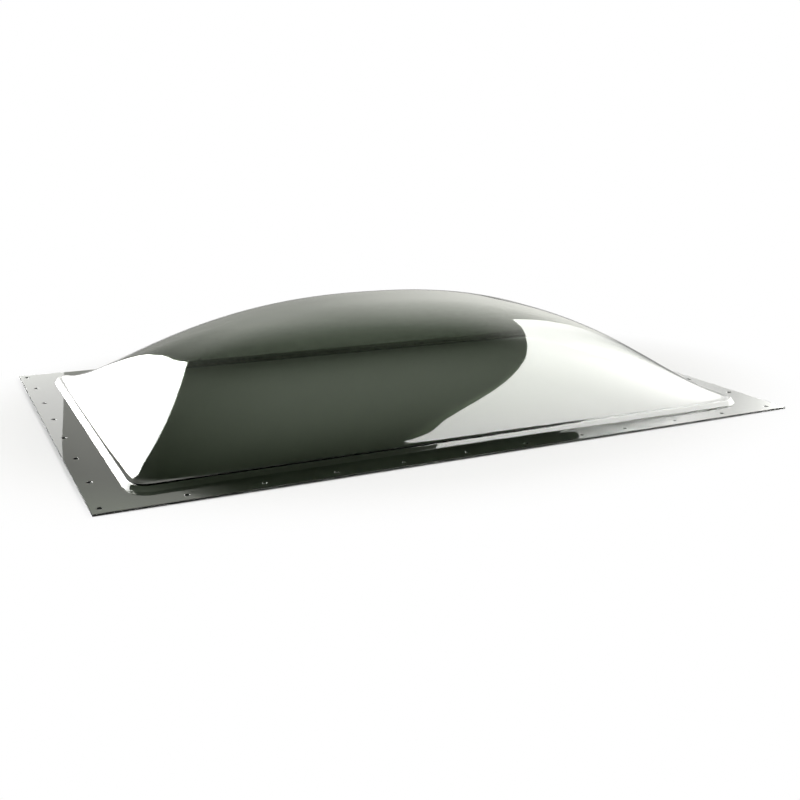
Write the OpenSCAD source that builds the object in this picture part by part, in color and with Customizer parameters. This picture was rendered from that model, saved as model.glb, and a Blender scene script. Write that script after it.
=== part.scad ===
// One-piece roof skylight blown from a single sheet of smoke-tinted plastic.
// A flat drilled flange lies on the roof, a low step stands round the opening,
// and a pillow-shaped dome rises from the ledge on top of the step.
// Millimetres. X runs along the length, Y across, Z up from the roof.

/* [Sheet] */
// Thickness of the sheet in the flange and the step
sheet_t = 2.2; // [1.4:0.1:2.8]
// Thickness at the crown, where blowing has stretched the sheet
crown_t = 1.1; // [0.8:0.1:2.2]
// How fast the sheet thins on its way up the dome, 1 is in step with the height
thinning = 2.5; // [1:0.5:4]

/* [Step] */
// Length of the step's foot
step_l = 764; // [600:1:1000]
// Width of the step's foot
step_w = 460; // [360:1:640]
// Height of the step above the flange
step_h = 5.8; // [4:0.1:20]
// Corner radius of the step's foot in plan
step_r = 25; // [14:1:60]
// Slope of the step's wall from level, in degrees
wall_slope = 60; // [45:1:85]
// Radius of the hollow where the wall meets the flange
foot_r = 1.2; // [0.5:0.1:3]
// Radius of the rounded shoulder on top of the wall
shoulder_r = 3; // [2.5:0.1:6]
// Width of the level ledge between the shoulder and the dome
ledge_w = 3; // [0.5:0.1:8]

/* [Flange] */
// Width of the flange at the two short ends
end_flange = 37; // [28:1:80]
// Width of the flange along the two long sides
side_flange = 34; // [28:1:80]

/* [Dome] */
// Rise of the crown above the ledge
dome_rise = 118.2; // [60:0.1:180]
// Fullness of the arch along the length
arch_l = 2.31; // [2:0.01:4]
// Fullness of the arch across the width
arch_w = 2.78; // [2:0.01:4]
// Roundness of the two ends, 1 is straightest
end_round = 0.81; // [0.7:0.01:1]
// Size of the hollow where the dome leaves the ledge
root_r = 4.5; // [1:0.1:8]
// Height of the steeper lip above that hollow
root_lip = 3.1; // [0:0.1:5]
// Height over which the lip dies away up the flank
lip_reach = 2.2; // [1:0.1:6]

/* [Screw holes] */
// Diameter of a screw hole
hole_d = 4.8; // [3:0.1:7]
// Distance from a row of holes to its edge of the flange
hole_edge = 12; // [8:0.5:14]
// Distance between neighbouring holes
hole_pitch = 74.5; // [40:0.5:140]
// Distance from the left edge to the corner hole of a long row
row_corner = 8.2; // [6:0.1:20]
// Distance from the left edge to the first pitched hole of a long row
row_start = 86.4; // [50:0.1:110]
// Distance from the right edge to the last hole of a long row
row_end = 20.4; // [8:0.1:30]
// Number of holes set out from the right end of a long row
row_end_count = 4; // [1:1:5]
// Distance from the front edge to the first hole of a short row
column_start = 82; // [50:0.5:110]
// Least distance kept where two runs of holes meet
hole_gap = 40; // [20:1:60]

/* [Hidden] */

// Facets: steps per arc of the section, per corner, per side and up the dome
foot_steps = 3;
shoulder_steps = 4;
corner_steps = 6;
long_steps = 22;
short_steps = 13;
dome_steps = 20;
// Rings crowd towards the dome's foot, where the section turns fastest
ring_crowding = 1.7;
hole_facets = 32;
drill_over = 1;

flange_l = step_l + 2 * end_flange;
flange_w = step_w + 2 * side_flange;

// The section, as the inset from the step's foot and the height above the roof.
// Both faces of the sheet turn about the same two centres.
foot_centre = [0, sheet_t + foot_r];
top_z = sheet_t + step_h;
foot_end = foot_centre + foot_r * [sin(wall_slope), -cos(wall_slope)];
wall_top_z = top_z - shoulder_r * (1 - cos(wall_slope));
wall_run = (wall_top_z - foot_end[1]) / tan(wall_slope);
shoulder_centre = [foot_end[0] + wall_run + shoulder_r * sin(wall_slope), top_z - shoulder_r];
rim_inset = shoulder_centre[0] + ledge_w;
rim_x = step_l / 2 - rim_inset;
rim_y = step_w / 2 - rim_inset;

// The section of one face, sunk below the outer face by depth
function section(depth) = [
    for (i = [0 : foot_steps])
        let (a = wall_slope * i / foot_steps)
        foot_centre + (foot_r + depth) * [sin(a), -cos(a)],
    for (i = [shoulder_steps : -1 : 0])
        let (a = wall_slope * i / shoulder_steps)
        shoulder_centre + (shoulder_r - depth) * [-sin(a), cos(a)],
    [rim_inset, top_z - depth]
];

// Outline with round corners: half sizes x and y, corner radius r
function corner_arc(x, y, r, from) = [
    for (i = [0 : corner_steps])
        let (a = from + 90 * i / corner_steps)
        [x + r * cos(a), y + r * sin(a)]
];
function between(a, b, n) = [for (i = [1 : n - 1]) a + (b - a) * i / n];
function closed_run(arcs) = [
    for (k = [0 : 3])
        let (next = arcs[(k + 1) % 4], n = k % 2 == 0 ? long_steps : short_steps)
        each concat(arcs[k], between(arcs[k][corner_steps], next[0], n))
];
function rounded_outline(x, y, r) = closed_run([
    corner_arc(x - r, y - r, r, 0),
    corner_arc(r - x, y - r, r, 90),
    corner_arc(r - x, r - y, r, 180),
    corner_arc(x - r, r - y, r, 270)
]);
// The flange's square corner is reached in the middle of each corner run
function square_corner(p, q, c) = [
    for (i = [0 : corner_steps])
        let (h = corner_steps / 2)
        i < h ? p + (c - p) * i / h : c + (q - c) * (i - h) / h
];
function square_outline(x, y, inner_x, inner_y) = closed_run([
    square_corner([x, inner_y], [inner_x, y], [x, y]),
    square_corner([-inner_x, y], [-x, inner_y], [-x, y]),
    square_corner([-x, -inner_y], [-inner_x, -y], [-x, -y]),
    square_corner([inner_x, -y], [x, -inner_y], [x, -y])
]);
function step_outline(inset) = rounded_outline(step_l / 2 - inset, step_w / 2 - inset, step_r - inset);
function lift(outline, z) = [for (p = outline) [p[0], p[1], z]];

// Blown dome: an arch along the length times an arch across the width, raised by
// a lip near its foot, with a smooth hollow at its root
full_rise = sqrt(pow(dome_rise + root_r, 2) - pow(root_r, 2)) - root_lip;
function arch(t, power) = max(0, 1 - pow(abs(t), power));
function blown(p) = full_rise * pow(arch(p[0] / rim_x, arch_l), end_round) * arch(p[1] / rim_y, arch_w);
function lipped(b) = b + root_lip * (1 - exp(-b / lip_reach));
function dome_z(p) = sqrt(pow(lipped(blown(p)), 2) + pow(root_r, 2)) - root_r;
function arch_slope(t, power) = power * pow(abs(t), power - 1) * sign(t) / arch(t, power);
function dome_slope(p) =
    let (
        b = blown(p),
        up = lipped(b),
        lip_slope = 1 + root_lip / lip_reach * exp(-b / lip_reach),
        along = end_round * arch_slope(p[0] / rim_x, arch_l) / rim_x,
        across = arch_slope(p[1] / rim_y, arch_w) / rim_y
    )
    -b * lip_slope * up / sqrt(up * up + root_r * root_r) * [along, across];
function sheet_at(z) = crown_t + (sheet_t - crown_t) * pow(1 - z / dome_rise, thinning);
function outer_point(p) = [p[0], p[1], top_z + dome_z(p)];
function inner_point(p) =
    let (g = dome_slope(p))
    outer_point(p) - sheet_at(dome_z(p)) * [-g[0], -g[1], 1] / norm([g[0], g[1], 1]);

rim = step_outline(rim_inset);
ring_scales = [for (k = [1 : dome_steps - 1]) 1 - pow(k / dome_steps, ring_crowding)];
flange_outline = square_outline(flange_l / 2, flange_w / 2, step_l / 2 - step_r, step_w / 2 - step_r);

// All rings of one face of the sheet, from the flange's edge to the crown
function face_rings(depth) = concat(
    [lift(flange_outline, sheet_t - depth)],
    [for (s = section(depth)) lift(step_outline(s[0]), s[1])],
    [for (k = ring_scales) [for (p = rim) depth == 0 ? outer_point(k * p) : inner_point(k * p)]]
);

module sheet() {
    top = face_rings(0);
    under = face_rings(sheet_t);
    n = len(rim);
    rings = len(top);
    under_start = n * rings;
    crown = 2 * under_start;
    quads = [
        for (r = [0 : rings - 2], i = [0 : n - 1])
            let (j = (i + 1) % n)
            [r * n + i, (r + 1) * n + i, (r + 1) * n + j, r * n + j]
    ];
    last = (rings - 1) * n;
    cap = [for (i = [0 : n - 1]) [last + i, crown, last + (i + 1) % n]];
    edge = [for (i = [0 : n - 1]) [i, (i + 1) % n, under_start + (i + 1) % n, under_start + i]];
    top_faces = concat([for (q = quads) each [[q[0], q[1], q[2]], [q[0], q[2], q[3]]]], cap);
    under_faces = [
        for (f = top_faces)
            [for (i = [2 : -1 : 0]) f[i] == crown ? crown + 1 : f[i] + under_start]
    ];
    edge_faces = [for (q = edge) each [[q[0], q[1], q[2]], [q[0], q[2], q[3]]]];
    points = concat(
        [for (ring = top) each ring],
        [for (ring = under) each ring],
        [[0, 0, top_z + dome_rise], [0, 0, top_z + dome_rise - crown_t]]
    );
    polyhedron(points, concat(top_faces, under_faces, edge_faces), convexity = 6);
}

// Screw holes: long rows are set out from both ends, short rows from the front
right_first = flange_l / 2 - row_end - (row_end_count - 1) * hole_pitch;
left_first = row_start - flange_l / 2;
left_count = floor((right_first - left_first - hole_gap) / hole_pitch) + 1;
row_x = concat(
    [row_corner - flange_l / 2],
    [for (k = [0 : left_count - 1]) left_first + k * hole_pitch],
    [for (k = [0 : row_end_count - 1]) right_first + k * hole_pitch]
);
column_first = column_start - flange_w / 2;
column_count = floor((flange_w / 2 - hole_edge - hole_gap - column_first) / hole_pitch) + 1;
column_y = [for (k = [0 : column_count - 1]) column_first + k * hole_pitch];

module drill(x, y) {
    translate([x, y, -drill_over])
        cylinder(d = hole_d, h = sheet_t + 2 * drill_over, $fn = hole_facets);
}

module skylight() {
    color("#3f443a")
        difference() {
            sheet();
            for (x = row_x, side = [-1, 1])
                drill(x, side * (flange_w / 2 - hole_edge));
            for (y = column_y, end = [-1, 1])
                drill(end * (flange_l / 2 - hole_edge), y);
        }
}

skylight();
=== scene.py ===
"""Roof skylight blown from one smoke-tinted sheet, seen in a plain white studio.

The scene is in metres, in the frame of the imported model: X along the length, Y across the
width, Z up from the underside of the flange. Sizes are written in millimetres.
"""

import logging
import math
from dataclasses import dataclass, field
from enum import Enum
from typing import Any

import bpy
import numpy as np
from mathutils import Matrix, Vector
from mathutils.geometry import delaunay_2d_cdt


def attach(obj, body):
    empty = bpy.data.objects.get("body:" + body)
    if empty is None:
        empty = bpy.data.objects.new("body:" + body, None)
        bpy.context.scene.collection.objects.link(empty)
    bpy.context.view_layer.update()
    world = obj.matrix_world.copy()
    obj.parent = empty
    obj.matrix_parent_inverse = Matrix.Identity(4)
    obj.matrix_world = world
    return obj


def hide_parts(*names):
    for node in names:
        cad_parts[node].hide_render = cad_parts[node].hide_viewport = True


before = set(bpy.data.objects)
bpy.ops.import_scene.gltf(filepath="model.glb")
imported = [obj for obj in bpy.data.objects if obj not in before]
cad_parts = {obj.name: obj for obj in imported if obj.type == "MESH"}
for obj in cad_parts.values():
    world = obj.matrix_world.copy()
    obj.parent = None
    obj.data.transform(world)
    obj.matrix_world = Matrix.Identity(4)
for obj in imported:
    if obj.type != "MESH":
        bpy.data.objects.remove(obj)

Array = np.ndarray
Colour = tuple[float, float, float, float]

MM = 0.001
CUT_ATTRIBUTE = "saw_cut"
GLOW_ATTRIBUTE = "glow"
WHITE = "#ffffff"

log = logging.getLogger("skylight")


class Side(Enum):
    """The two faces of the sheet."""

    OUTSIDE = "outside"
    UNDERSIDE = "underside"


class Surface(Enum):
    """How a face of the sheet was made, kept on the mesh as a number."""

    BLOWN = 0.0
    DEBURRED = 0.25
    SAWN = 1.0


def linear(hex_colour: str) -> Colour:
    """Turn a screen colour into the linear colour that shaders take.

    Args:
        hex_colour: Six hex digits after a hash sign.

    Returns:
        Red, green, blue and an alpha of one.
    """
    screen = np.array([int(hex_colour[i : i + 2], 16) for i in (1, 3, 5)]) / 255
    light = np.where(screen <= 0.04045, screen / 12.92, ((screen + 0.055) / 1.055) ** 2.4)
    return (float(light[0]), float(light[1]), float(light[2]), 1.0)


def add_node(
    tree: bpy.types.NodeTree,
    kind: str,
    inputs: dict[str | int, Any] | None = None,
    **settings: Any,
) -> bpy.types.Node:
    """Add one node and set it up.

    Args:
        tree: Node tree that gets the node.
        kind: Name of the node's class.
        inputs: Socket name or number to a value, or to another node's output that is linked in.
        **settings: The node's own properties.

    Returns:
        The new node.
    """
    node = tree.nodes.new(kind)
    for name, value in settings.items():
        setattr(node, name, value)
    for name, value in (inputs or {}).items():
        if isinstance(value, bpy.types.NodeSocket):
            tree.links.new(value, node.inputs[name])
        else:
            node.inputs[name].default_value = value
    return node


def new_material(name: str) -> tuple[bpy.types.Material, bpy.types.NodeTree]:
    """Make a node material without any nodes.

    Args:
        name: Name of the material.

    Returns:
        The material and its node tree.
    """
    material = bpy.data.materials.new(name)
    material.use_nodes = True
    material.node_tree.nodes.clear()
    return material, material.node_tree


def new_object(name: str, data: bpy.types.ID) -> bpy.types.Object:
    """Make an object at the origin and link it into the scene.

    Args:
        name: Name of the object.
        data: Its mesh, lamp or camera.

    Returns:
        The object.
    """
    made = bpy.data.objects.new(name, data)
    bpy.context.scene.collection.objects.link(made)
    return made


def grid_quads(grid: Array) -> Array:
    """Join neighbouring rings of vertex numbers by quads.

    Quad (r, i) runs i, i + 1 along ring r and back along ring r + 1, so rings that shrink
    anticlockwise face up.

    Args:
        grid: Vertex numbers, one closed ring in each row.

    Returns:
        Vertex numbers of the quads, four in a row.
    """
    onward = np.roll(grid, -1, axis=1)
    quads = np.stack([grid[:-1], onward[:-1], onward[1:], grid[1:]], axis=-1)
    return quads.reshape(-1, 4)


@dataclass(frozen=True)
class StepSection:
    """Section of the low step: inset from its foot against height above the roof."""

    sheet: float = 2.2
    height: float = 5.8
    slope: float = 60.0
    foot_radius: float = 1.2
    shoulder_radius: float = 3.0
    ledge: float = 3.0
    foot_steps: int = 8
    shoulder_steps: int = 12

    @property
    def top(self) -> float:
        """Height of the ledge's upper face."""
        return self.sheet + self.height

    @property
    def foot_centre(self) -> Array:
        """Centre of the hollow at the wall's foot."""
        return np.array([0.0, self.sheet + self.foot_radius])

    @property
    def shoulder_centre(self) -> Array:
        """Centre of the shoulder, which the sloping wall reaches from the foot's hollow.

        Returns:
            Inset and height.
        """
        slope = math.radians(self.slope)
        foot_end = self.foot_centre + self.foot_radius * np.array([math.sin(slope), -math.cos(slope)])
        wall_top = self.top - self.shoulder_radius * (1 - math.cos(slope))
        run = (wall_top - foot_end[1]) / math.tan(slope)
        across = foot_end[0] + run + self.shoulder_radius * math.sin(slope)
        return np.array([across, self.top - self.shoulder_radius])

    @property
    def rim_inset(self) -> float:
        """Inset of the dome's rim from the step's foot."""
        return float(self.shoulder_centre[0]) + self.ledge

    def profile(self, depth: float) -> Array:
        """Trace one face of the sheet from the flange to the dome's rim.

        Two arcs about shared centres, (R + depth) in the hollow foot and (R - depth) on the
        shoulder, joined by the straight wall and ended by the level ledge.

        Args:
            depth: Distance below the outer face, measured through the sheet.

        Returns:
            Rows of inset and height.
        """
        turn = math.radians(self.slope)
        rising = np.linspace(0, turn, self.foot_steps + 1)[:, None]
        falling = np.linspace(turn, 0, self.shoulder_steps + 1)[:, None]
        foot_way = np.hstack([np.sin(rising), -np.cos(rising)])
        shoulder_way = np.hstack([-np.sin(falling), np.cos(falling)])
        foot = self.foot_centre + (self.foot_radius + depth) * foot_way
        shoulder = self.shoulder_centre + (self.shoulder_radius - depth) * shoulder_way
        return np.vstack([foot, shoulder, [[self.rim_inset, self.top - depth]]])


@dataclass(frozen=True)
class StepOutline:
    """Plan of the step's foot, a rectangle with round corners that every ring follows."""

    length: float = 764.0
    width: float = 460.0
    radius: float = 25.0
    corner_steps: int = 24
    long_steps: int = 70
    short_steps: int = 44

    def path(self) -> tuple[Array, Array]:
        """Lay out the run round the step.

        A point of the run is anchor + (radius - inset) * way: in a corner the anchor stands
        still and the way turns, along a side the way stands still and the anchor slides.

        Returns:
            Anchors and ways, anticlockwise from the right end.
        """
        reach = np.array([self.length, self.width]) / 2 - self.radius
        centres = reach * np.array([[1, 1], [-1, 1], [-1, -1], [1, -1]])
        anchors, angles = [], []
        for corner in range(4):
            steps = self.long_steps if corner % 2 == 0 else self.short_steps
            start, end = centres[corner], centres[(corner + 1) % 4]
            slide = (np.arange(1, steps) / steps)[:, None]
            anchors += [np.tile(start, (self.corner_steps + 1, 1)), start + slide * (end - start)]
            turn = (corner + np.arange(self.corner_steps + 1) / self.corner_steps) * math.pi / 2
            angles += [turn, np.full(steps - 1, turn[-1])]
        angle = np.concatenate(angles)
        return np.vstack(anchors), np.column_stack([np.cos(angle), np.sin(angle)])

    def rings(self, insets: Array) -> Array:
        """Offset the outline inwards.

        Args:
            insets: One inset for each ring.

        Returns:
            Plan points, one ring in each row.
        """
        anchors, ways = self.path()
        return anchors + (self.radius - insets)[:, None, None] * ways

    def holds(self, points: Array) -> Array:
        """Tell which plan points lie inside the outline, by their distance to its core.

        Args:
            points: Plan points.

        Returns:
            True for each point inside.
        """
        beyond = np.abs(points) - (np.array([self.length, self.width]) / 2 - self.radius)
        away = np.linalg.norm(np.maximum(beyond, 0), axis=1) + np.minimum(beyond.max(axis=1), 0)
        return away < self.radius


@dataclass(frozen=True)
class BlownDome:
    """Pillow dome, an arch along the length times an arch across the width."""

    rise: float = 118.2
    arch_along: float = 2.31
    arch_across: float = 2.78
    # Roundness of the two ends, where 1 is straightest
    end_round: float = 0.81
    # Hollow at the root, and the steeper lip above it with the height over which it dies away
    root: float = 4.5
    lip: float = 3.1
    lip_reach: float = 2.2
    # Thickness at the crown, and how fast the sheet thins on its way up
    crown_sheet: float = 1.1
    thinning: float = 2.5
    # Rings up the dome, and how they crowd towards its root
    rings: int = 80
    crowding: float = 1.7

    def surface(self, plan: Array, rim: Array, sheet: float) -> tuple[Array, Array]:
        """Raise the dome's two faces over a plan.

        The blown height is b = B * (1 - |x / X|^m)^e * (1 - |y / Y|^n). The lip raises it to
        u = b + lip * (1 - exp(-b / reach)), and the root's hollow turns that into
        h = sqrt(u^2 + root^2) - root. The under face lies one thickness along the normal, and
        the sheet thins from the rim to the crown as (1 - h / rise)^thinning falls.

        Args:
            plan: Plan points inside the rim.
            rim: Half length and half width of the rim.
            sheet: Thickness of the sheet at the rim.

        Returns:
            Points of the outer and of the under face, with height counted from the ledge.
        """
        full = math.sqrt((self.rise + self.root) ** 2 - self.root**2) - self.lip
        power = np.array([self.arch_along, self.arch_across])
        roundness = np.array([self.end_round, 1.0])
        part = np.abs(plan) / rim
        arch = 1 - part**power
        blown = full * np.prod(arch**roundness, axis=-1)
        fading = np.exp(-blown / self.lip_reach)
        lipped = blown + self.lip * (1 - fading)
        hollow = np.sqrt(lipped**2 + self.root**2)
        height = hollow - self.root
        fall = roundness * power * part ** (power - 1) * np.sign(plan) / (arch * rim)
        steepness = blown * (1 + self.lip / self.lip_reach * fading) * lipped / hollow
        slope = steepness[..., None] * fall
        normal = np.concatenate([slope, np.ones_like(slope[..., :1])], axis=-1)
        normal /= np.linalg.norm(normal, axis=-1, keepdims=True)
        unstretched = (1 - height / self.rise) ** self.thinning
        thickness = self.crown_sheet + (sheet - self.crown_sheet) * unstretched
        outer = np.concatenate([plan, height[..., None]], axis=-1)
        return outer, outer - thickness[..., None] * normal

    def ring_scales(self) -> Array:
        """Scales of the rim's copies, 1 - t^crowding, close together at the root."""
        return 1 - (np.arange(1, self.rings) / self.rings) ** self.crowding


@dataclass(frozen=True)
class ScrewHoles:
    """Screw holes of the flange, set out from the ends of its sides."""

    diameter: float = 4.8
    edge: float = 12.0
    pitch: float = 74.5
    # Long rows: the corner hole and the first pitched hole from the left, the last from the right
    row_corner: float = 8.2
    row_start: float = 86.4
    row_start_count: int = 7
    row_end: float = 20.4
    row_end_count: int = 4
    # Short rows: the first hole from the front
    column_start: float = 82.0
    column_count: int = 6
    # Width of the bevel that deburring leaves on both rims of a hole
    burr: float = 0.5
    facets: int = 32

    def centres(self, half: Array) -> Array:
        """Set out the centres.

        A long row has a corner hole and two pitched runs, one from each end; a short row has one
        pitched run from the front. Both repeat on the far side.

        Args:
            half: Half length and half width of the flange.

        Returns:
            Plan points of the hole centres.
        """
        from_left = self.row_start - half[0] + self.pitch * np.arange(self.row_start_count)
        from_right = half[0] - self.row_end - self.pitch * np.arange(self.row_end_count)
        row = np.concatenate([[self.row_corner - half[0]], from_left, from_right])
        column = self.column_start - half[1] + self.pitch * np.arange(self.column_count)
        rows = [np.column_stack([row, np.full(row.size, s * (half[1] - self.edge))]) for s in (-1, 1)]
        ends = [
            np.column_stack([np.full(column.size, s * (half[0] - self.edge)), column]) for s in (-1, 1)
        ]
        return np.vstack(rows + ends)

    def rims(self, centres: Array, radius: float) -> Array:
        """Circle of facets round each centre, one hole in each row, anticlockwise."""
        turn = 2 * math.pi * np.arange(self.facets) / self.facets
        return centres[:, None, :] + radius * np.column_stack([np.cos(turn), np.sin(turn)])

    def bores(self, half: Array, sheet: float) -> Array:
        """Rings at the two ends of each straight bore, between the bevels.

        Args:
            half: Half length and half width of the flange.
            sheet: Thickness of the flange.

        Returns:
            Points by end, hole and facet, the upper end first.
        """
        plan = self.rims(self.centres(half), self.diameter / 2)
        ends = np.array([sheet - self.burr, self.burr])[:, None, None, None]
        level = np.broadcast_to(ends, (2, *plan.shape[:2], 1))
        return np.concatenate([np.broadcast_to(plan, (2, *plan.shape)), level], axis=-1)


@dataclass
class FlangePlan:
    """Triangles of the drilled flange in plan, with its loops of vertex numbers."""

    points: Array
    triangles: Array
    edge: Array
    foot: Array
    holes: Array


@dataclass(frozen=True)
class SmokedSheet:
    """Smoke-tinted acrylic sheet, glossy where it was blown and matt where it was sawn.

    To the eye it is a dark olive-grey glass that deepens with thickness, so the flange and the
    root are darker than the thin crown. Lamps and floor mirror in it crisply, with the faint slow
    waves of a sheet that was heated and blown free.
    """

    name: str = "smoked_acrylic"
    ior: float = 1.49
    # Colour of white light after one pass through a sheet of the pass thickness
    pass_colour: str = "#9ba197"
    pass_thickness: float = 1.5
    gloss_roughness: float = 0.012
    # Slow waves of the blown sheet
    wave_size: float = 120.0
    wave_height: float = 0.02
    # Film of fine dust and wiping marks, and the levels of its noise between which it shows
    haze_roughness: float = 0.03
    haze_size: float = 35.0
    haze_levels: tuple[float, float] = (0.45, 0.75)
    # Teeth marks of the saw and the drill, with the share by which they vary the roughness
    sawn_roughness: float = 0.6
    tooth_size: float = 0.8
    tooth_levels: tuple[float, float] = (0.3, 0.7)
    tooth_spread: float = 0.3

    def material(self) -> bpy.types.Material:
        """Build the tinted sheet: roughness by how a face was made, waves, and tint by depth.

        Returns:
            The sheet's material.
        """
        material, tree = new_material(self.name)
        place = add_node(tree, "ShaderNodeTexCoord").outputs["Object"]
        sawn = add_node(tree, "ShaderNodeAttribute", attribute_name=CUT_ATTRIBUTE).outputs["Fac"]
        haze = add_node(
            tree,
            "ShaderNodeTexNoise",
            {"Vector": place, "Scale": 1 / (self.haze_size * MM), "Detail": 4.0, "Roughness": 0.6},
        )
        blown_roughness = add_node(
            tree,
            "ShaderNodeMapRange",
            {
                "Value": haze.outputs["Fac"],
                "From Min": self.haze_levels[0],
                "From Max": self.haze_levels[1],
                "To Min": self.gloss_roughness,
                "To Max": self.haze_roughness,
            },
        )
        teeth = add_node(
            tree,
            "ShaderNodeTexNoise",
            {"Vector": place, "Scale": 1 / (self.tooth_size * MM), "Detail": 2.0},
        )
        sawn_roughness = add_node(
            tree,
            "ShaderNodeMapRange",
            {
                "Value": teeth.outputs["Fac"],
                "From Min": self.tooth_levels[0],
                "From Max": self.tooth_levels[1],
                "To Min": self.sawn_roughness * (1 - self.tooth_spread),
                "To Max": self.sawn_roughness * (1 + self.tooth_spread),
            },
        )
        roughness = add_node(
            tree,
            "ShaderNodeMix",
            {"Factor": sawn, "A": blown_roughness.outputs[0], "B": sawn_roughness.outputs[0]},
            data_type="FLOAT",
        )
        waves = add_node(
            tree,
            "ShaderNodeTexNoise",
            {"Vector": place, "Scale": 1 / (self.wave_size * MM), "Detail": 1.0},
        )
        bump = add_node(
            tree,
            "ShaderNodeBump",
            {"Height": waves.outputs["Fac"], "Strength": 1.0, "Distance": self.wave_height * MM},
        )
        sheet = add_node(
            tree,
            "ShaderNodeBsdfPrincipled",
            {
                "Base Color": linear(WHITE),
                "IOR": self.ior,
                "Transmission Weight": 1.0,
                "Roughness": roughness.outputs[0],
                "Normal": bump.outputs["Normal"],
            },
        )
        density, colour = self.absorption()
        tint = add_node(tree, "ShaderNodeVolumeAbsorption", {"Color": colour, "Density": density})
        add_node(
            tree,
            "ShaderNodeOutputMaterial",
            {"Surface": sheet.outputs["BSDF"], "Volume": tint.outputs["Volume"]},
        )
        return material

    def absorption(self) -> tuple[float, Colour]:
        """Work out the tint's strength from the colour of one pass.

        A pass of thickness d lets exp(-a * d) through, so a = -ln(pass) / d in each channel, and
        the shader absorbs density * (1 - colour).

        Returns:
            Density per metre and the absorption colour.
        """
        passed = np.array(linear(self.pass_colour)[:3])
        absorbed = -np.log(passed) / (self.pass_thickness * MM)
        density = float(absorbed.max())
        kept = 1 - absorbed / density
        return density, (float(kept[0]), float(kept[1]), float(kept[2]), 1.0)


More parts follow.
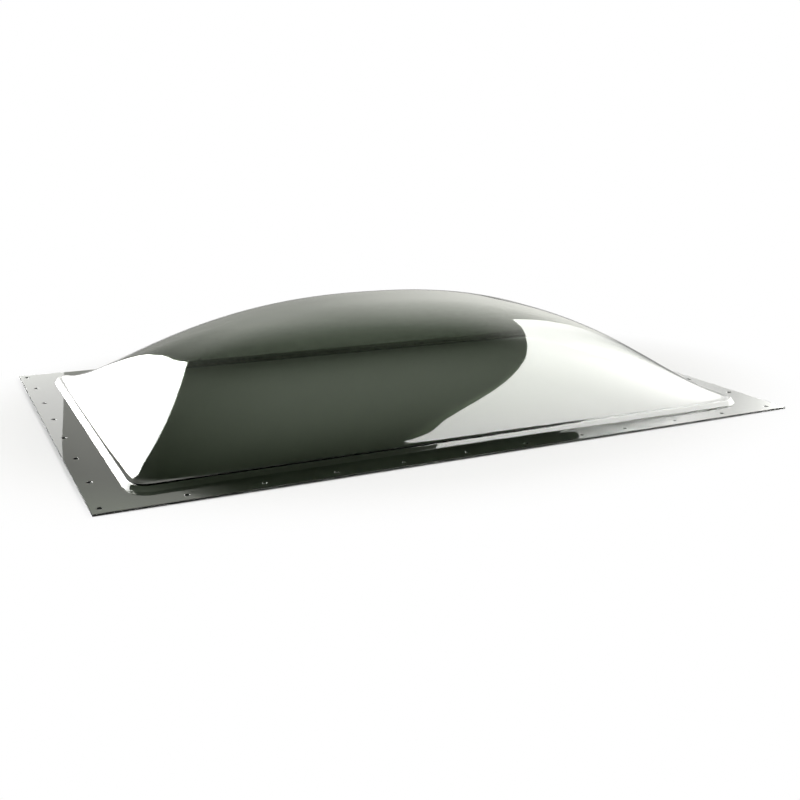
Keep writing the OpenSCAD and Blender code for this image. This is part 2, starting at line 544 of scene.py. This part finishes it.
@dataclass(frozen=True)
class Skylight:
    """The whole skylight: drilled flange, low step and blown dome in one closed sheet."""

    end_flange: float = 37.0
    side_flange: float = 34.0
    # A loop just outside the foot keeps the flange's shading flat up to the foot's hollow
    flat_margin: float = 0.4
    # Plan points of the flange that are closer than this are one point
    merge_distance: float = 1e-6
    # Edges that turn by more degrees than this are creases
    sharp_angle: float = 40.0
    section: StepSection = field(default_factory=StepSection)
    outline: StepOutline = field(default_factory=StepOutline)
    dome: BlownDome = field(default_factory=BlownDome)
    holes: ScrewHoles = field(default_factory=ScrewHoles)
    finish: SmokedSheet = field(default_factory=SmokedSheet)

    @property
    def half(self) -> Array:
        """Half length and half width of the flange."""
        plan = np.array([self.outline.length, self.outline.width])
        return plan / 2 + np.array([self.end_flange, self.side_flange])

    def flange_plan(self) -> FlangePlan:
        """Triangulate the flange between its edge, its holes and the step's foot.

        Returns:
            The flange's points, triangles and loops.
        """
        corners = self.half * np.array([[1, 1], [-1, 1], [-1, -1], [1, -1]])
        foot, margin = self.outline.rings(np.array([0.0, -self.flat_margin]))
        centres = self.holes.centres(self.half)
        reach = self.holes.diameter / 2 + self.holes.burr
        rims = self.holes.rims(centres, reach)
        loops = [corners, foot, margin, *rims]
        sizes = [len(loop) for loop in loops]
        starts = np.concatenate([[0], np.cumsum(sizes)])[:-1]
        numbers = [start + np.arange(size) for start, size in zip(starts, sizes)]
        edges = np.vstack([np.column_stack([run, np.roll(run, -1)]) for run in numbers])
        given = [Vector(p) for p in np.vstack(loops)]
        made = delaunay_2d_cdt(given, edges.tolist(), [], 0, self.merge_distance)
        corners_made, _, triangles_made, sources, _, _ = made
        points, triangles = np.array([tuple(p) for p in corners_made]), np.array(triangles_made)
        kept_as = np.empty(sum(sizes), dtype=int)
        origins = np.concatenate([np.array(run, dtype=int) for run in sources])
        kept_as[origins] = np.repeat(np.arange(len(points)), [len(run) for run in sources])
        middles = points[triangles].mean(axis=1)
        to_hole = np.linalg.norm(middles[:, None] - centres[None], axis=2).min(axis=1)
        solid = ~self.outline.holds(middles) & (to_hole > reach)
        return FlangePlan(
            points,
            triangles[solid],
            kept_as[numbers[0]],
            kept_as[numbers[1]],
            kept_as[np.array(numbers[3:])],
        )

    def rising_rings(self, side: Side) -> Array:
        """Carry the section round the outline and the dome over its rim, for one face.

        Args:
            side: Which face of the sheet.

        Returns:
            Points of the rings from just inside the foot to just short of the crown.
        """
        depth = 0.0 if side is Side.OUTSIDE else self.section.sheet
        profile = self.section.profile(depth)[1:]
        plan = self.outline.rings(profile[:, 0])
        level = np.broadcast_to(profile[:, 1][:, None, None], plan.shape[:2] + (1,))
        step = np.concatenate([plan, level], axis=-1)
        inset = self.section.rim_inset
        rim = np.array([self.outline.length, self.outline.width]) / 2 - inset
        copies = self.dome.ring_scales()[:, None, None] * self.outline.rings(np.array([inset]))
        faces = self.dome.surface(copies, rim, self.section.sheet)
        cap = faces[0] if side is Side.OUTSIDE else faces[1]
        return np.concatenate([step, cap + np.array([0, 0, self.section.top])])

    def mesh(self) -> bpy.types.Mesh:
        """Join both faces, the cut edge and the hole walls into one closed mesh.

        Returns:
            The mesh, in metres, with the sawn faces marked by an attribute.
        """
        flange = self.flange_plan()
        count = len(flange.points)
        rise = {side: self.rising_rings(side) for side in Side}
        crown = self.section.top + self.dome.rise
        bores = self.holes.bores(self.half, self.section.sheet)
        blocks = [
            np.column_stack([flange.points, np.full(count, self.section.sheet)]),
            np.column_stack([flange.points, np.zeros(count)]),
            rise[Side.OUTSIDE].reshape(-1, 3),
            rise[Side.UNDERSIDE].reshape(-1, 3),
            np.array([[0, 0, crown], [0, 0, crown - self.dome.crown_sheet]]),
            bores.reshape(-1, 3),
        ]
        _, outer, inner, crowns, bored, _ = np.cumsum([len(block) for block in blocks])
        shape = rise[Side.OUTSIDE].shape[:2]
        numbers = np.arange(shape[0] * shape[1]).reshape(shape)
        upper = np.vstack([flange.foot[None], numbers + outer])
        lower = np.vstack([flange.foot[None] + count, numbers + inner])
        tip = [np.column_stack([run[-1], np.roll(run[-1], -1)]) for run in (upper, lower)]
        blown = [
            flange.triangles,
            flange.triangles[:, ::-1] + count,
            grid_quads(upper),
            grid_quads(lower)[:, ::-1],
            np.column_stack([tip[0], np.full(shape[1], crowns)]),
            np.column_stack([tip[1][:, ::-1], np.full(shape[1], crowns + 1)]),
        ]
        top_end, low_end = np.arange(bores[..., 0].size).reshape(bores.shape[:3]) + bored
        burrs = [grid_quads(np.stack(pair)) for pair in zip(flange.holes, top_end)]
        burrs += [grid_quads(np.stack(pair)) for pair in zip(low_end, flange.holes + count)]
        edge = np.stack([flange.edge + count, flange.edge])
        sawn = [grid_quads(edge), *(grid_quads(np.stack(pair)) for pair in zip(top_end, low_end))]
        mesh = bpy.data.meshes.new("skylight_sheet")
        parts = {Surface.BLOWN: blown, Surface.DEBURRED: burrs, Surface.SAWN: sawn}
        faces = [row for rows in parts.values() for part in rows for row in part.tolist()]
        mesh.from_pydata((np.vstack(blocks) * MM).tolist(), [], faces)
        sizes = [sum(len(part) for part in rows) for rows in parts.values()]
        made_by = np.repeat(np.array([way.value for way in parts], dtype=np.float32), sizes)
        mark = mesh.attributes.new(CUT_ATTRIBUTE, "FLOAT", "FACE")
        mark.data.foreach_set("value", made_by)
        mesh.polygons.foreach_set("use_smooth", np.ones(len(faces), dtype=bool))
        mesh.set_sharp_from_angle(angle=math.radians(self.sharp_angle))
        mesh.update()
        return mesh

    def build(self) -> bpy.types.Object:
        """Make the piece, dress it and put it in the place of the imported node.

        Returns:
            The finished piece.
        """
        mesh = self.mesh()
        mesh.materials.append(self.finish.material())
        piece = new_object("skylight_sheet", mesh)
        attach(piece, "root")
        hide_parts("skylight")
        return piece


def heading(azimuth: float) -> Array:
    """Level unit vector at an azimuth in degrees, counted from +Y towards +X."""
    turn = math.radians(azimuth)
    return np.array([math.sin(turn), math.cos(turn), 0.0])


def seen_share(tree: bpy.types.NodeTree) -> bpy.types.NodeSocket:
    """Add the test for rays that look straight at a surface or see it through the sheet.

    Args:
        tree: Node tree that gets the nodes.

    Returns:
        Output that is 1 for those rays and 0 for all others.
    """
    path = add_node(tree, "ShaderNodeLightPath")
    seen = add_node(
        tree,
        "ShaderNodeMath",
        {0: path.outputs["Is Camera Ray"], 1: path.outputs["Is Transmission Ray"]},
        operation="MAXIMUM",
    )
    return seen.outputs[0]


@dataclass(frozen=True)
class CardStop:
    """One upright line on a lit card: its place along the card, its ends and their glow."""

    place: float
    top: float
    foot: float = 0.0
    top_glow: float = 1.0
    foot_glow: float = 1.0


@dataclass(frozen=True)
class ReflectorCard:
    """Upright lit card that only mirrors in the sheet and lights nothing else."""

    name: str
    azimuth: float
    distance: float
    strength: float
    stops: tuple[CardStop, ...]
    # Brightness when seen at a grazing angle, as a share of the strength, and the range of the
    # slant over which it falls to that
    edge_on: float = 1.0
    slant_range: tuple[float, float] = (0.65, 0.765)
    # The faint warm cast of the lamp behind the card
    colour: str = "#fffffc"

    def build(self) -> bpy.types.Object:
        """Stand the card across its azimuth, as a strip of quads from stop to stop.

        Returns:
            The card.
        """
        place = np.array([stop.place for stop in self.stops])
        line = self.distance * heading(self.azimuth) + place[:, None] * heading(self.azimuth + 90)
        points = np.vstack([line, line])
        points[:, 2] = [stop.foot for stop in self.stops] + [stop.top for stop in self.stops]
        low = np.arange(len(line) - 1)
        high = low + len(line)
        quads = np.column_stack([low, low + 1, high + 1, high])
        mesh = bpy.data.meshes.new(self.name)
        mesh.from_pydata((points * MM).tolist(), [], quads.tolist())
        glow = [stop.foot_glow for stop in self.stops] + [stop.top_glow for stop in self.stops]
        mark = mesh.attributes.new(GLOW_ATTRIBUTE, "FLOAT", "POINT")
        mark.data.foreach_set("value", np.array(glow, dtype=np.float32))
        mesh.materials.append(self.material())
        card = new_object(self.name, mesh)
        card.visible_camera = False
        card.visible_diffuse = False
        card.visible_shadow = False
        return card

    def material(self) -> bpy.types.Material:
        """Light the card for rays that were mirrored and met nothing matt, and clear it for others.

        Returns:
            The card's material.
        """
        material, tree = new_material(self.name)
        # Mirrored rays find the card by themselves, and it is no lamp for matt surfaces
        material.cycles.emission_sampling = "NONE"
        path = add_node(tree, "ShaderNodeLightPath")
        mirrored = add_node(
            tree,
            "ShaderNodeMath",
            {0: path.outputs["Glossy Depth"], 1: path.outputs["Diffuse Depth"]},
            operation="GREATER_THAN",
        )
        slant = add_node(tree, "ShaderNodeLayerWeight", {"Blend": 0.5})
        falloff = add_node(
            tree,
            "ShaderNodeMapRange",
            {
                "Value": slant.outputs["Facing"],
                "From Min": self.slant_range[0],
                "From Max": self.slant_range[1],
                "To Min": self.strength,
                "To Max": self.strength * self.edge_on,
            },
        )
        glow = add_node(tree, "ShaderNodeAttribute", attribute_name=GLOW_ATTRIBUTE)
        shine = add_node(
            tree,
            "ShaderNodeMath",
            {0: falloff.outputs[0], 1: glow.outputs["Fac"]},
            operation="MULTIPLY",
        )
        lit = add_node(
            tree,
            "ShaderNodeEmission",
            {"Color": linear(self.colour), "Strength": shine.outputs[0]},
        )
        clear = add_node(tree, "ShaderNodeBsdfTransparent")
        shown = add_node(
            tree,
            "ShaderNodeMixShader",
            {0: mirrored.outputs[0], 1: clear.outputs[0], 2: lit.outputs[0]},
        )
        add_node(tree, "ShaderNodeOutputMaterial", {"Surface": shown.outputs[0]})
        return material


@dataclass(frozen=True)
class SoftLamp:
    """Large square lamp that gives soft light and doesn't show in the sheet."""

    name: str
    azimuth: float
    radiance: float
    height: float = 1500.0
    distance: float = 1900.0
    size: float = 1500.0

    def build(self) -> bpy.types.Object:
        """Hang the lamp at its azimuth, facing the object.

        Returns:
            The lamp.
        """
        data = bpy.data.lights.new(self.name, "AREA")
        data.size = self.size * MM
        data.energy = self.radiance * math.pi * data.size**2
        lamp = new_object(self.name, data)
        place = self.distance * heading(self.azimuth) + np.array([0, 0, self.height])
        lamp.location = Vector(place * MM)
        lamp.rotation_euler = (-lamp.location).to_track_quat("-Z", "Y").to_euler()
        lamp.visible_camera = False
        lamp.visible_glossy = False
        lamp.visible_transmission = False
        return lamp


@dataclass(frozen=True)
class WhiteFloor:
    """Round matt white floor just under the flange, which keeps the object's shadow."""

    colour: str = "#fefefe"
    drop: float = 0.5
    radius: float = 6000.0
    facets: int = 64
    # Distances between which the floor fades to the plain white of the background, and how much
    # sooner it does so across the width
    fade_start: float = 445.0
    fade_end: float = 620.0
    fade_across: float = 1.5

    def build(self) -> bpy.types.Object:
        """Lay the floor, as a fan of facets round its middle.

        Returns:
            The floor.
        """
        run = np.arange(self.facets)
        turn = 2 * math.pi * run / self.facets
        circle = self.radius * np.column_stack([np.cos(turn), np.sin(turn)])
        plan = np.vstack([circle, [[0, 0]]])
        points = np.column_stack([plan, np.full(len(plan), -self.drop)])
        faces = np.column_stack([run, np.roll(run, -1), np.full(self.facets, self.facets)])
        mesh = bpy.data.meshes.new("studio_floor")
        mesh.from_pydata((points * MM).tolist(), [], faces.tolist())
        mesh.materials.append(self.material())
        floor = new_object("studio_floor", mesh)
        return floor

    def material(self) -> bpy.types.Material:
        """Make matt white that fades to the background's plain white far from the object.

        Returns:
            The floor's material.
        """
        material, tree = new_material("white_floor")
        place = add_node(tree, "ShaderNodeTexCoord").outputs["Object"]
        scaled = add_node(
            tree,
            "ShaderNodeVectorMath",
            {0: place, 1: (1.0, self.fade_across, 1.0)},
            operation="MULTIPLY",
        )
        away = add_node(
            tree, "ShaderNodeVectorMath", {0: scaled.outputs["Vector"]}, operation="LENGTH"
        )
        fade = add_node(
            tree,
            "ShaderNodeMapRange",
            {
                "Value": away.outputs["Value"],
                "From Min": self.fade_start * MM,
                "From Max": self.fade_end * MM,
            },
            interpolation_type="SMOOTHSTEP",
        )
        share = add_node(
            tree,
            "ShaderNodeMath",
            {0: fade.outputs[0], 1: seen_share(tree)},
            operation="MULTIPLY",
        )
        matt = add_node(tree, "ShaderNodeBsdfDiffuse", {"Color": linear(self.colour)})
        plain = add_node(tree, "ShaderNodeEmission")
        floor = add_node(
            tree,
            "ShaderNodeMixShader",
            {0: share.outputs[0], 1: matt.outputs[0], 2: plain.outputs[0]},
        )
        add_node(tree, "ShaderNodeOutputMaterial", {"Surface": floor.outputs[0]})
        return material


@dataclass(frozen=True)
class PaleBackdrop:
    """Surroundings that are plain white where seen, and graded where they mirror in the sheet."""

    colour: str = "#fffff8"
    peak: float = 2.4
    # Share of the peak by the sine of the elevation
    levels: tuple[tuple[float, float], ...] = (
        (0.0, 0.6),
        (0.13, 0.78),
        (0.26, 0.95),
        (0.46, 0.98),
        (0.54, 0.96),
        (0.61, 0.87),
        (0.68, 0.69),
        (0.74, 0.42),
        (0.79, 0.14),
        (0.84, 0.0),
    )
    # Share of the peak at the left, and the sideways range over which the right is reached
    left: float = 0.36
    side_range: tuple[float, float] = (0.27, 0.74)
    # Share of the peak in front of the object, and the range over which the back is reached
    front: float = 0.08
    back_range: tuple[float, float] = (-0.3, 0.3)
    # Share left in the upper left, where the backdrop ends lower along a leaning edge
    upper_left: float = 0.1
    edge_lean: float = -0.5
    edge_range: tuple[float, float] = (-0.26, -0.01)

    def build(self) -> None:
        """Light the surroundings: level by height, times shares by side, depth and upper left."""
        world = bpy.data.worlds.new("white_studio")
        world.use_nodes = True
        tree = world.node_tree
        tree.nodes.clear()
        graded_light = add_node(
            tree,
            "ShaderNodeBackground",
            {"Color": linear(self.colour), "Strength": self.brightness(tree)},
        )
        plain_light = add_node(tree, "ShaderNodeBackground", {"Color": linear(WHITE)})
        light = add_node(
            tree,
            "ShaderNodeMixShader",
            {0: seen_share(tree), 1: graded_light.outputs[0], 2: plain_light.outputs[0]},
        )
        add_node(tree, "ShaderNodeOutputWorld", {"Surface": light.outputs[0]})
        bpy.context.scene.world = world

    def brightness(self, tree: bpy.types.NodeTree) -> bpy.types.NodeSocket:
        """Add the nodes that grade the backdrop.

        Args:
            tree: The world's node tree.

        Returns:
            Output with the brightness in each direction.
        """
        way = add_node(tree, "ShaderNodeTexCoord").outputs["Generated"]
        axis = add_node(tree, "ShaderNodeSeparateXYZ", {"Vector": way})
        ramp = add_node(tree, "ShaderNodeValToRGB", {"Fac": axis.outputs["Z"]})
        stops = ramp.color_ramp.elements
        while len(stops) < len(self.levels):
            stops.new(1.0)
        for stop, (height, level) in zip(stops, self.levels):
            stop.position = height
            stop.color = (level, level, level, 1.0)
        side = add_node(
            tree,
            "ShaderNodeMapRange",
            {
                "Value": axis.outputs["X"],
                "From Min": self.side_range[0],
                "From Max": self.side_range[1],
                "To Min": self.left * self.peak,
                "To Max": self.peak,
            },
            interpolation_type="SMOOTHSTEP",
        )
        behind = add_node(
            tree,
            "ShaderNodeMapRange",
            {
                "Value": axis.outputs["Y"],
                "From Min": self.back_range[0],
                "From Max": self.back_range[1],
                "To Min": self.front,
            },
        )
        slant = add_node(
            tree,
            "ShaderNodeMath",
            {0: axis.outputs["Z"], 1: self.edge_lean, 2: axis.outputs["X"]},
            operation="MULTIPLY_ADD",
        )
        trim = add_node(
            tree,
            "ShaderNodeMapRange",
            {
                "Value": slant.outputs[0],
                "From Min": self.edge_range[0],
                "From Max": self.edge_range[1],
                "To Min": self.upper_left,
            },
        )
        graded = ramp.outputs["Color"]
        for share in (side, behind, trim):
            product = add_node(
                tree, "ShaderNodeMath", {0: graded, 1: share.outputs[0]}, operation="MULTIPLY"
            )
            graded = product.outputs[0]
        return graded


@dataclass(frozen=True)
class Studio:
    """White floor, pale backdrop all round, soft lamps and the cards that mirror in the sheet."""

    floor: WhiteFloor = field(default_factory=WhiteFloor)
    backdrop: PaleBackdrop = field(default_factory=PaleBackdrop)
    lamps: tuple[SoftLamp, ...] = (
        SoftLamp("left_lamp", azimuth=-75.0, radiance=3.6),
        SoftLamp("right_lamp", azimuth=100.0, radiance=3.6),
        SoftLamp("front_lamp", azimuth=200.0, radiance=3.0, height=1700.0),
    )
    cards: tuple[ReflectorCard, ...] = (
        ReflectorCard(
            "left_card",
            azimuth=-70.5,
            distance=546.0,
            strength=14.0,
            edge_on=0.17,
            stops=(
                CardStop(-330.0, top=490.0),
                CardStop(160.0, top=485.0),
                CardStop(342.0, top=467.0),
                CardStop(612.0, top=440.0),
                CardStop(616.0, top=262.0),
                CardStop(650.0, top=208.0),
                CardStop(680.0, top=150.0),
                CardStop(730.0, top=40.0),
            ),
        ),
        ReflectorCard(
            "right_card",
            azimuth=105.9,
            distance=1100.0,
            strength=15.6,
            stops=(
                CardStop(-1400.0, top=1262.0, top_glow=0.5, foot_glow=0.0),
                CardStop(-1016.0, top=1305.0, top_glow=0.56, foot_glow=0.0),
                CardStop(-560.0, top=1346.0, top_glow=0.78, foot_glow=0.45),
                CardStop(-280.0, top=1341.0, foot=60.0, top_glow=0.88, foot_glow=0.86),
                CardStop(0.0, top=1326.0, foot=60.0, top_glow=0.91, foot_glow=0.95),
                CardStop(423.0, top=1306.0, foot=60.0, top_glow=0.88),
                CardStop(640.0, top=1316.0, foot=60.0, top_glow=0.84, foot_glow=0.97),
                CardStop(850.0, top=1336.0, foot=60.0, top_glow=0.77, foot_glow=0.9),
                CardStop(1100.0, top=1340.0, foot=60.0, top_glow=0.74, foot_glow=0.8),
            ),
        ),
    )

    def build(self) -> None:
        """Set up the floor, the backdrop, the lamps and the cards."""
        self.floor.build()
        self.backdrop.build()
        for light in (*self.lamps, *self.cards):
            light.build()
            log.info("studio light %s", light.name)


@dataclass(frozen=True)
class StudioCamera:
    """Camera at the photograph's viewing angle, for a square picture."""

    place: tuple[float, float, float] = (-542.6, -1079.2, 328.7)
    azimuth: float = -27.32
    elevation: float = 15.64
    roll: float = 1.02
    lens: float = 43.71
    sensor: float = 36.0

    def build(self) -> bpy.types.Object:
        """Aim the camera: its back points along azimuth and elevation, then it rolls.

        Returns:
            The camera, made the scene's own.
        """
        turn, lift = math.radians(self.azimuth), math.radians(self.elevation)
        level = math.cos(lift)
        back = Vector((math.sin(turn) * level, -math.cos(turn) * level, math.sin(lift)))
        right = Vector((math.cos(turn), math.sin(turn), 0.0))
        upright = Matrix((right, back.cross(right), back)).transposed()
        rolled = upright @ Matrix.Rotation(math.radians(self.roll), 3, "Z")
        data = bpy.data.cameras.new("studio_camera")
        data.lens = self.lens
        data.sensor_width = self.sensor
        camera = new_object("studio_camera", data)
        camera.location = Vector(self.place) * MM
        camera.rotation_euler = rolled.to_euler()
        bpy.context.scene.camera = camera
        return camera


def main() -> None:
    """Build the camera, the skylight and the studio in turn."""
    logging.basicConfig(level=logging.INFO, format="%(name)s: %(message)s")
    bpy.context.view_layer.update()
    bpy.context.scene.view_settings.view_transform = "Standard"
    StudioCamera().build()
    piece = Skylight().build()
    log.info("piece %s, %d faces", piece.name, len(piece.data.polygons))
    Studio().build()


if __name__ == "__main__":
    main()
